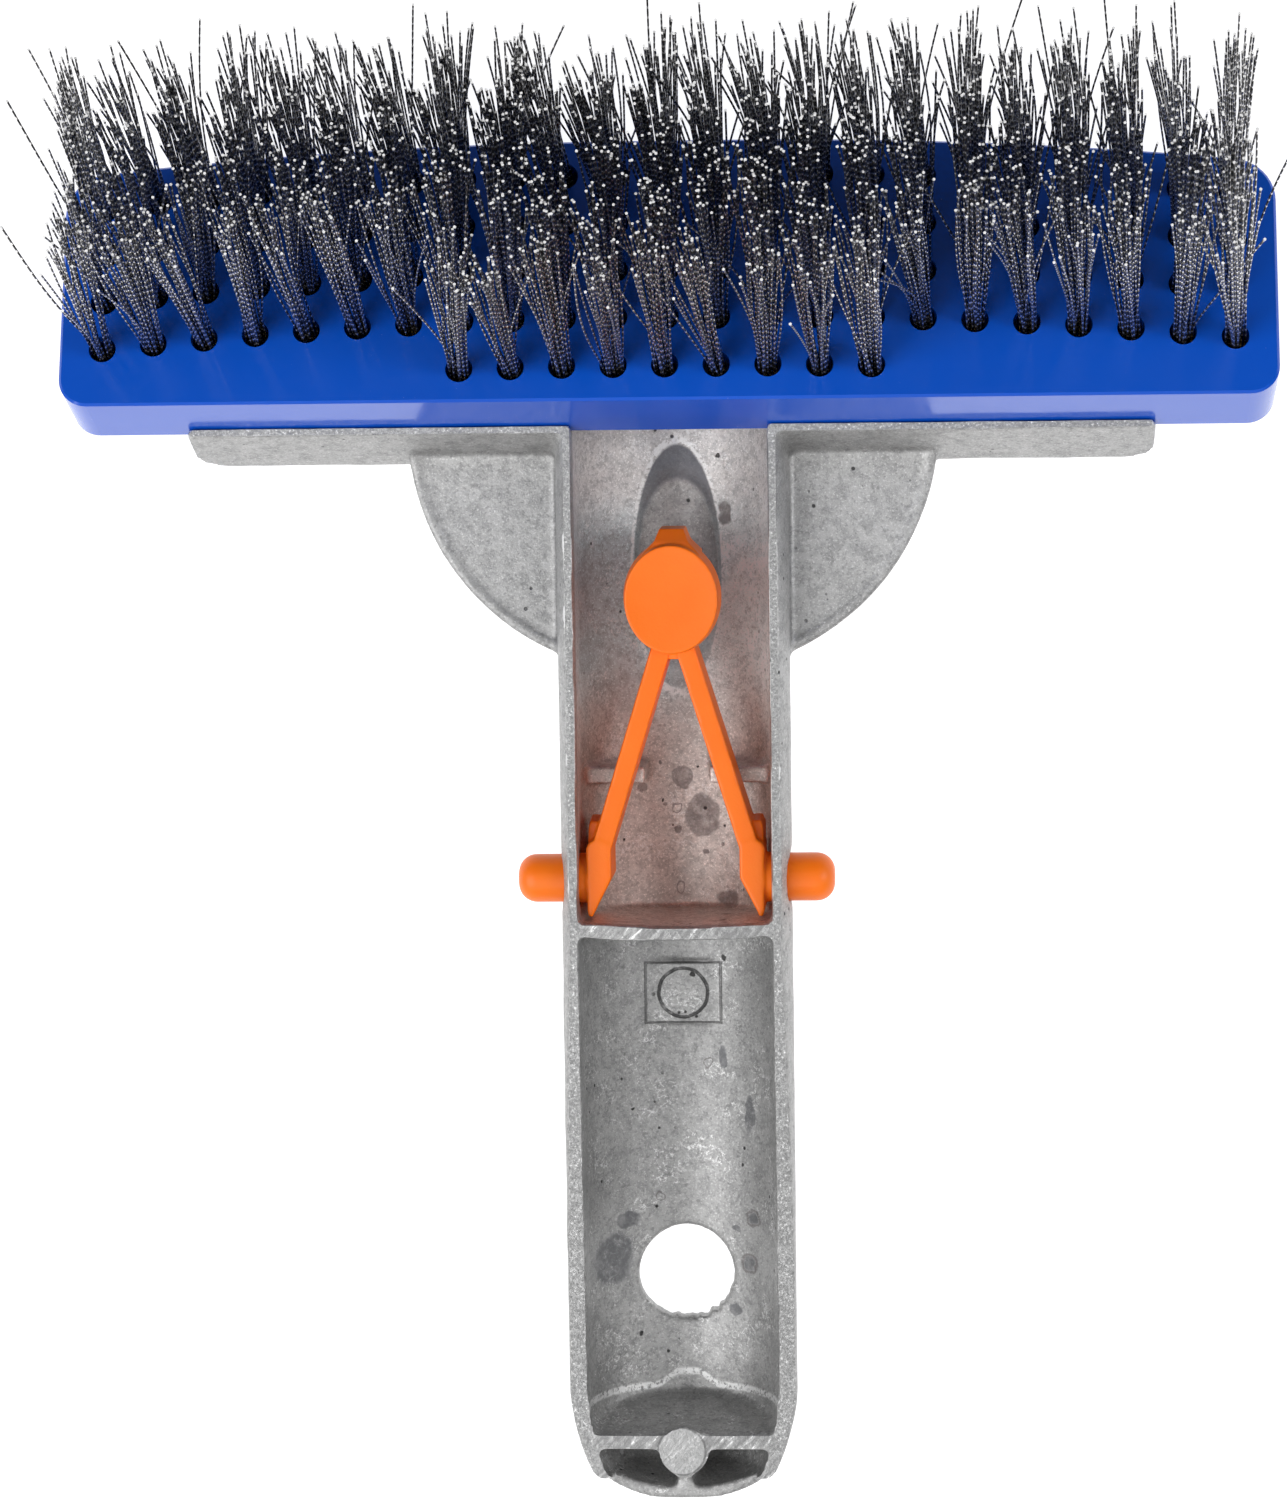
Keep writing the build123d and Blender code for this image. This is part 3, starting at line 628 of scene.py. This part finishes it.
def handle_casting():
    """The casting with soft mould edges, flat ground rims and a slightly uneven skin."""
    piece = copy_of("handle_casting", "handle_casting_cast")
    soften(piece, CAST_VOXEL, CAST_ROUNDS, CAST_KEEP)
    bm = bmesh.new()
    bm.from_mesh(piece.data)
    for face in bm.faces:
        face.smooth = True
    grind_rims(bm)
    rim = {v for f in bm.faces if f.material_index == 1 for v in f.verts}
    for vert in bm.verts:
        if vert not in rim:
            slow = noise.noise(vert.co / (7 * MM)) * 0.07
            quick = noise.noise(vert.co / (1.9 * MM)) * 0.025
            vert.co += vert.normal * (slow + quick) * MM
            vert.co += drain_flash(vert.co)
    bm.to_mesh(piece.data)
    bm.free()
    piece.data.materials.append(cast_aluminium())
    piece.data.materials.append(ground_aluminium())
    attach(piece, "head")
    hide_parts("handle_casting")


# ---- bristles -------------------------------------------------------------------------------
def rear_edge_shift(x):
    """How far the bowed rear edge has fallen at x."""
    beyond = max(abs(x) - BACK_FLAT, 0)
    return BACK_SAG * (beyond / (BLOCK_HALF - BACK_FLAT)) ** 2


def tuft_places(column):
    x = (column - (COLUMNS - 1) / 2) * PITCH_X
    rows = ROWS + 1 if column in LONG_COLUMNS else ROWS
    return [(x, REAR_ROW_Y - rear_edge_shift(x) - row * PITCH_Y) for row in range(rows)]


def from_seat(points):
    """Points given in the seat's own axes, in millimetres, as points of the frame."""
    axes = np.array([(1, 0, 0), tuple(TO_REAR), tuple(ALONG_BRISTLES)])
    return np.array(SEAT) + points @ axes * MM


def wire_route(x, y, lean, spread):
    """Centre line of one wire: straight in the hole, then splayed, with a slight wander."""
    reach = np.sqrt(rng.random())
    angle = rng.random() * 2 * math.pi
    outward = np.array((math.cos(angle), math.sin(angle)))
    root = TUFT_ROOT_RADIUS * reach * outward
    splay = (0.1 + 1.1 * reach) * outward + rng.normal(0, 1, 2) * (0.75, 1.7)
    splay = splay * spread
    length = WIRE_LENGTH + rng.normal(0, 1.7)
    if rng.random() < STRAY_SHARE:
        splay = splay + np.clip(rng.normal(0, 3.4, 2), -STRAY_REACH, STRAY_REACH)
        length += min(abs(rng.normal(0, 1.6)), STRAY_EXTRA)
    bow = rng.normal(0, 0.35, 2)
    t = np.append(np.linspace(0, 1, WIRE_RINGS), 1 + CUT_LENGTH / length)
    height = BLOCK_THICK - WIRE_BURIED + (length + WIRE_BURIED) * t
    free = np.clip((height - BLOCK_THICK) / length, 0, 1.1)
    side = root + np.outer(free ** 1.3, splay) + np.outer(free, lean)
    side = side + np.outer(np.sin(math.pi * free), bow)
    points = np.column_stack([x + side[:, 0], y + side[:, 1], height])
    points[:, 2] -= np.hypot(*(splay + lean)) ** 2 / (2 * length) * free
    return from_seat(points)


def wire_tube(route):
    """Rings of points round a route, with the route's direction at each."""
    along = np.gradient(route, axis=0)
    along /= np.linalg.norm(along, axis=1)[:, None]
    across = np.cross(along, (1.0, 0.0, 0.0))
    across /= np.linalg.norm(across, axis=1)[:, None]
    third = np.cross(along, across)
    turns = (np.arange(WIRE_SIDES) * 2 * math.pi / WIRE_SIDES)[None, :, None]
    circle = np.cos(turns) * across[:, None, :] + np.sin(turns) * third[:, None, :]
    radii = np.full(len(route), WIRE_RADIUS * MM)
    radii[-1] *= CUT_FLARE
    return route[:, None, :] + circle * radii[:, None, None], along


def tube_faces(base, count):
    """Faces of a tube whose corners start at a number: the sides, the cut end and the root."""
    faces = []
    for ring in range(count - 1):
        for side in range(WIRE_SIDES):
            a = base + ring * WIRE_SIDES + side
            b = base + ring * WIRE_SIDES + (side + 1) % WIRE_SIDES
            faces.append((a, b, b + WIRE_SIDES, a + WIRE_SIDES))
    last = base + (count - 1) * WIRE_SIDES
    faces.append(tuple(range(last, last + WIRE_SIDES)))
    faces.append(tuple(range(base + WIRE_SIDES - 1, base - 1, -1)))
    return faces


def bristle_column(column, steel, cut):
    """All the wires of one column of tufts, with what the steel's crimps need at each corner."""
    points, faces, cut_ends, axes, phases, shades = [], [], [], [], [], []
    for x, y in tuft_places(column):
        lean = np.array((TUFT_LEAN * x, 0.0)) + rng.normal(0, 1, 2) * (0.9, 1.1)
        spread = rng.uniform(0.65, 1.25)
        for _ in range(WIRES_PER_TUFT):
            route = wire_route(x, y, lean, spread)
            rings, along = wire_tube(route)
            tube = tube_faces(len(points), len(route))
            faces.extend(tube)
            cut_ends.extend([0] * (len(tube) - 2) + [1, 0])
            points.extend(rings.reshape(-1, 3).tolist())
            axes.extend(np.repeat(along, WIRE_SIDES, axis=0).tolist())
            steps = np.linalg.norm(np.diff(route, axis=0), axis=1)
            travel = np.concatenate([[0], np.cumsum(steps)]) / MM
            phase = travel * 2 * math.pi / CRIMP_PITCH + rng.random() * 2 * math.pi
            phases.extend(np.repeat(phase, WIRE_SIDES).tolist())
            shades.extend([rng.random()] * (len(route) * WIRE_SIDES))
    mesh = bpy.data.meshes.new(f"wires_{column + 1:02d}")
    mesh.from_pydata(points, [], faces)
    mesh.polygons.foreach_set("material_index", cut_ends)
    mesh.polygons.foreach_set("use_smooth", [end == 0 for end in cut_ends])
    mesh.attributes.new("wire_axis", "FLOAT_VECTOR", "POINT").data.foreach_set("vector", np.ravel(axes))
    mesh.attributes.new("crimp", "FLOAT", "POINT").data.foreach_set("value", phases)
    mesh.attributes.new("shade", "FLOAT", "POINT").data.foreach_set("value", shades)
    mesh.materials.append(steel)
    mesh.materials.append(cut)
    mesh.update()
    piece = put_in_scene(mesh.name, mesh)
    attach(piece, "head")
    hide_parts(f"bristle_column_{column + 1:02d}")


# ---- clip -----------------------------------------------------------------------------------
class Moulding:
    """Overlapping closed shapes, in millimetres, that a remesh turns into one moulding."""

    def __init__(self):
        self.bm = bmesh.new()

    def loft(self, lower, upper):
        """A closed shape between two outlines of the same number of (x, y, z) points."""
        low = [self.bm.verts.new(Vector(p) * MM) for p in lower]
        high = [self.bm.verts.new(Vector(p) * MM) for p in upper]
        count = len(low)
        self.bm.faces.new(low[::-1])
        self.bm.faces.new(high)
        for i in range(count):
            j = (i + 1) % count
            self.bm.faces.new((low[i], low[j], high[j], high[i]))

    def prism(self, outline, bottom, top, draft=0.0):
        """Extrudes an (x, y) outline in Z, with the upper edge pulled in by the draft."""
        middle = sum((Vector(p) for p in outline), Vector((0, 0))) / len(outline)
        upper = []
        for p in outline:
            pull = (middle - Vector(p)).normalized() * draft
            upper.append((p[0] + pull.x, p[1] + pull.y, top))
        self.loft([(p[0], p[1], bottom) for p in outline], upper)

    def turned(self, profile, sides=40):
        """A bar on the X axis through (x, radius) stations."""
        rings = []
        for x, radius in profile:
            turns = [2 * math.pi * k / sides for k in range(sides)]
            ring = [(x, radius * math.cos(a), radius * math.sin(a)) for a in turns]
            rings.append([self.bm.verts.new(Vector(p) * MM) for p in ring])
        self.bm.faces.new(rings[0][::-1])
        self.bm.faces.new(rings[-1])
        for one, two in zip(rings, rings[1:]):
            for i in range(sides):
                j = (i + 1) % sides
                self.bm.faces.new((one[i], one[j], two[j], two[i]))

    def piece(self, name, voxel_mm, material, mirror=False):
        """The finished moulding, mirrored to -X if asked."""
        if mirror:
            for vert in self.bm.verts:
                vert.co.x = -vert.co.x
        bmesh.ops.recalc_face_normals(self.bm, faces=self.bm.faces)
        mesh = bpy.data.meshes.new(name)
        self.bm.to_mesh(mesh)
        self.bm.free()
        made = put_in_scene(name, mesh)
        soften(made, voxel_mm, CLIP_ROUNDS)
        made.data.polygons.foreach_set("use_smooth", [True] * len(made.data.polygons))
        made.data.materials.append(material)
        return made


def oval(half_x, half_y, y, z, count=72):
    turns = [2 * math.pi * k / count for k in range(count)]
    return [(half_x * math.cos(a), y + half_y * math.sin(a), z) for a in turns]


def strip(start, end, side):
    """Corners of a straight strip in plan, from its two ends and its half width as a vector."""
    return [start - side, end - side, end + side, start + side]


def clip_leg(name, node, material, mirror=False):
    """Leg, foot, toe and pin in one moulding."""
    shape = Moulding()
    along = (LEG_END - LEG_ROOT).normalized()
    across = Vector((-along.y, along.x))
    start = LEG_ROOT - along * 3.4
    end = LEG_END + along * 1.2
    lower = strip(start, end, across * LEG_HALF_WIDTH)
    upper = strip(start, end, across * LEG_TOP_HALF_WIDTH)
    tops = [2.2, 3.4, 3.4, 2.2]
    shape.loft([(p.x, p.y, LEG_BOTTOM) for p in lower], [(p.x, p.y, t) for p, t in zip(upper, tops)])
    foot = [
        (7.85, 4.6), (7.8, 0.3), (10.1, -4.1), (10.3, -4.6), (10.75, -4.6), (10.95, -4.0),
        (11.05, -1.0), (11.05, 4.2), (10.6, 4.95), (9.6, 5.3)]
    shape.prism(foot, -4.2, 3.4, 0.12)
    back = [(8.9, 3.0), (11.0, 3.0), (11.0, 6.6), (10.6, 7.5), (9.6, 7.5), (8.9, 6.2)]
    shape.prism(back, -3.8, 1.4, 0.3)
    bar = [(9.8, PIN_NECK_RADIUS), (14.4, PIN_RADIUS), (PIN_STRAIGHT_X, PIN_RADIUS)]
    for step in range(1, PIN_ROUND_STEPS + 1):
        turn = step / PIN_ROUND_STEPS * math.pi / 2
        radius = PIN_RADIUS - PIN_ROUND + PIN_ROUND * math.cos(turn)
        bar.append((PIN_STRAIGHT_X + PIN_ROUND * math.sin(turn), radius))
    shape.turned(bar)
    leg = shape.piece(name, LEG_VOXEL, material, mirror)
    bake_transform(leg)
    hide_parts(node)


def clip_pad(material):
    """Oval thumb pad with a dished top, drafted sides, a stem below and a sloping tab."""
    shape = Moulding()
    shape.loft(oval(6.05, 7.0, PAD_Y, 1.8), oval(5.7, 6.6, 34.95, 6.0))
    stem = [(-3.4, 29.6), (3.4, 29.6), (3.4, 40.5), (-3.4, 40.5)]
    shape.prism(stem, -5.0, 3.0, 0.1)
    web = [(-2.3, 27.3), (2.3, 27.3), (2.3, 31.0), (-2.3, 31.0)]
    shape.prism(web, -2.8, 2.1)
    tab = [(-3.6, 40.4), (3.6, 40.4), (2.1, 41.9), (1.5, 43.4), (-1.5, 43.4), (-2.1, 41.9)]
    tops = [5.1, 5.1, 4.2, 2.4, 2.4, 4.2]
    shape.loft([(x, y, -3.0) for x, y in tab], [(x, y, top) for (x, y), top in zip(tab, tops)])
    pad = shape.piece("clip_pad_moulded", PAD_VOXEL, material)
    for vert in pad.data.vertices:
        x, y = vert.co.x / MM, vert.co.y / MM - PAD_Y
        inside = 1 - (x / 5.9) ** 2 - (y / 6.8) ** 2
        if vert.co.z > 5.2 * MM and inside > 0:
            vert.co.z -= PAD_DISH * min(1.0, inside) ** 0.5 * MM
    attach(pad, "pad")
    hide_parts("clip_pad")


# ---- CAD nodes that stay ---------------------------------------------------------------------
def finish_node(node, material):
    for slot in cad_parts[node].material_slots:
        slot.material = material


# ---- table, light and camera ----------------------------------------------------------------
def pale_floor():
    """A lit white table, so the object stands in plain white."""
    low = cad_bounds[0][2] - FLOOR_GAP
    far = FLOOR_REACH
    mesh = bpy.data.meshes.new("floor")
    corners = [(-far, -far, low), (far, -far, low), (far, far, low), (-far, far, low)]
    mesh.from_pydata(corners, [], [(0, 1, 2, 3)])
    floor = put_in_scene("floor", mesh)
    n = Nodes("floor_paper")
    fibre = n.noise(2, 3)
    n.set(Base_Color=n.mix(fibre, grey(0.40), grey(0.44)), Roughness=0.9)
    n.set(Emission_Color=grey(1.0), Emission_Strength=0.92)
    mesh.materials.append(n.material)


def area_light(name, place, size, watts):
    lamp = bpy.data.lights.new(name, "AREA")
    lamp.shape = "RECTANGLE"
    lamp.size, lamp.size_y = size
    lamp.energy = watts
    light = bpy.data.objects.new(name, lamp)
    light.location = place
    toward = LIGHT_TARGET - Vector(place)
    light.rotation_euler = toward.to_track_quat("-Z", "Y").to_euler()
    bpy.context.scene.collection.objects.link(light)


def studio():
    """Bright sky above and in front, dim behind the brush, with the main light from the left."""
    world = bpy.data.worlds.new("studio")
    world.use_nodes = True
    tree = world.node_tree
    where = tree.nodes.new("ShaderNodeTexCoord").outputs["Generated"]
    toward = tree.nodes.new("ShaderNodeVectorMath")
    toward.operation = "DOT_PRODUCT"
    toward.inputs[1].default_value = SKY_TOWARD
    tree.links.new(where, toward.inputs[0])
    ramp = tree.nodes.new("ShaderNodeMapRange")
    ramp.interpolation_type = "SMOOTHSTEP"
    tree.links.new(toward.outputs["Value"], ramp.inputs["Value"])
    limits = (("From Min", 0.1), ("From Max", 0.95), ("To Min", SKY_DIM), ("To Max", SKY_BRIGHT))
    for key, value in limits:
        ramp.inputs[key].default_value = value
    background = tree.nodes["Background"]
    background.inputs["Color"].default_value = (1.0, 1.0, 1.0, 1.0)
    tree.links.new(ramp.outputs["Result"], background.inputs["Strength"])
    bpy.context.scene.world = world
    for light in LIGHTS:
        area_light(*light)


def camera():
    """Nearly straight above, a little to the right, with the handle running down the picture."""
    data = bpy.data.cameras.new("camera")
    data.sensor_fit = "VERTICAL"
    data.sensor_height = 36.0
    data.lens = CAMERA_LENS
    data.clip_start = 0.01
    view = bpy.data.objects.new("camera", data)
    pitch = Matrix.Rotation(CAMERA_PITCH, 4, "X")
    yaw = Matrix.Rotation(CAMERA_YAW, 4, "Y")
    roll = Matrix.Rotation(CAMERA_ROLL, 4, "Z")
    view.matrix_world = Matrix.Translation(CAMERA_PLACE) @ pitch @ yaw @ roll
    bpy.context.scene.collection.objects.link(view)
    bpy.context.scene.camera = view


camera()
studio()
pale_floor()
bpy.context.scene.view_settings.view_transform = "Standard"

handle_casting()
finish_node("brush_block", blue_plastic())
steel = wire_steel()
cut = cut_end_glint()
for column in range(COLUMNS):
    bristle_column(column, steel, cut)
staple_brass = brass()
for row in range(1, ROWS + 2):
    finish_node(f"staple_row_{row}", staple_brass)
screw_metal = screw_steel()
for number in range(1, SCREWS + 1):
    finish_node(f"block_screw_{number}", screw_metal)
clip_orange = orange_plastic()
clip_pad(clip_orange)
clip_leg("clip_leg_left_moulded", "clip_leg_left", clip_orange, mirror=True)
clip_leg("clip_leg_right_moulded", "clip_leg_right", clip_orange)
